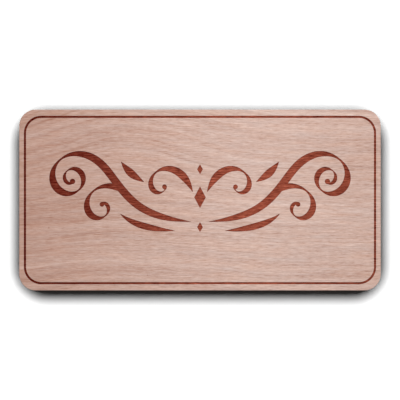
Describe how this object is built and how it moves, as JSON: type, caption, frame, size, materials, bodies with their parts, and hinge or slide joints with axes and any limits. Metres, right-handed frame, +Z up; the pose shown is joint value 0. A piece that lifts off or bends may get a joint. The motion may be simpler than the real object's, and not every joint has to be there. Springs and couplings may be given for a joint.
{
  "type": "wooden plaque",
  "caption": "Rounded rectangular plywood wall plaque with an engraved border line and scroll ornament, a sawtooth hanger and bumpers on its back.",
  "frame": {"origin": "on the wall plane, where the nail bears in the hanger's middle notch", "axes": "+Z up, +X to the right of a person facing the plaque, +Y into the wall; the engraved face looks along -Y"},
  "size_m": [0.2, 0.0123, 0.1],
  "materials": {
    "front_veneer": "fine sanded pinkish veneer, grain across, engraving scorched red-brown",
    "back_veneer": "sanded pinkish veneer, grain across",
    "long_ply": "sawn edge, long grain",
    "cross_ply": "sawn edge, end grain",
    "hanger_steel": "yellow zinc plated",
    "screw_steel": "bright zinc plated",
    "bumper_rubber": "soft matt rubber",
    "adhesive": "cloudy acrylic film"
  },
  "bodies": {
    "root": {"back_face_veneer": "back_veneer", "cross_ply_back": "cross_ply", "long_ply_back": "long_ply", "core_cross_ply": "cross_ply", "long_ply_front": "long_ply", "cross_ply_front": "cross_ply", "front_face_veneer": "front_veneer", "sawtooth_hanger": "hanger_steel", "hanger_screw_left": "screw_steel", "hanger_screw_right": "screw_steel", "bumper_top_left": "bumper_rubber", "bumper_top_right": "bumper_rubber", "bumper_bottom_left": "bumper_rubber", "bumper_bottom_right": "bumper_rubber", "pad_top_left": "adhesive", "pad_top_right": "adhesive", "pad_bottom_left": "adhesive", "pad_bottom_right": "adhesive"}
  },
  "joints": []
}
